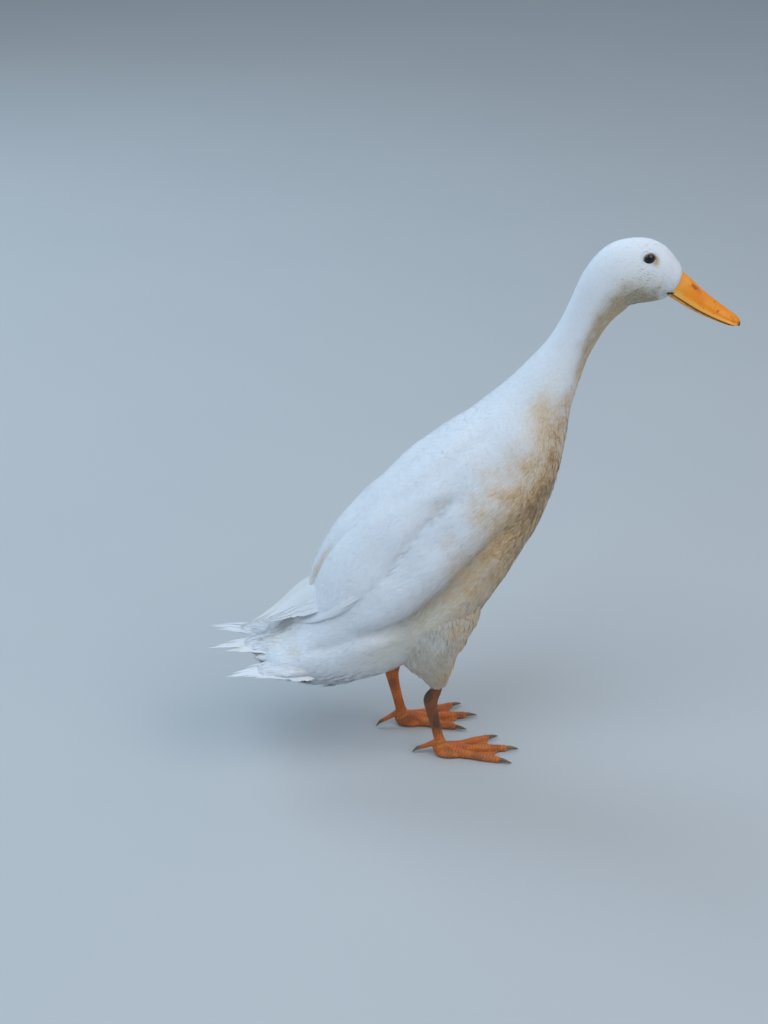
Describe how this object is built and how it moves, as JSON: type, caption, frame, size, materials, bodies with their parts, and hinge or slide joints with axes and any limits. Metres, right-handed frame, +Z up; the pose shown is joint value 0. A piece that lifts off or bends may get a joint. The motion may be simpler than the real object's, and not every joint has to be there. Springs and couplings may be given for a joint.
{
  "type": "duck",
  "caption": "Still life-size model of a white Runner duck, a hen, leaning forward on webbed feet with its neck stretched up and its bill pointing ahead and down.",
  "frame": {"origin": "on the floor, under the middle of the bird's outline", "axes": "+X is where the bird faces, +Y its left, +Z up"},
  "size_m": [0.419, 0.1226, 0.4276],
  "materials": {
    "plumage": "soft white feathers, stained tan down the front of the neck and breast",
    "bill": "smooth orange horn with a satin gloss",
    "leg": "orange-red scaled skin",
    "claw": "dull brown horn",
    "eye": "wet, nearly black"
  },
  "bodies": {
    "root": {"head": "plumage", "neck_upper": "plumage", "neck_lower": "plumage", "breast": "plumage", "trunk": "plumage", "rump": "plumage", "bill_upper": "bill", "bill_lower": "bill", "tail_feathers_middle": "plumage", "wing_left": "plumage", "primaries_left": "plumage", "thigh_left": "plumage", "shank_left": "leg", "foot_left": "leg", "tail_feathers_left": "plumage", "eye_left": "eye", "claw_left_1": "claw", "claw_left_2": "claw", "claw_left_3": "claw", "claw_left_4": "claw", "wing_right": "plumage", "primaries_right": "plumage", "thigh_right": "plumage", "shank_right": "leg", "foot_right": "leg", "tail_feathers_right": "plumage", "eye_right": "eye", "claw_right_1": "claw", "claw_right_2": "claw", "claw_right_3": "claw", "claw_right_4": "claw"}
  },
  "joints": []
}
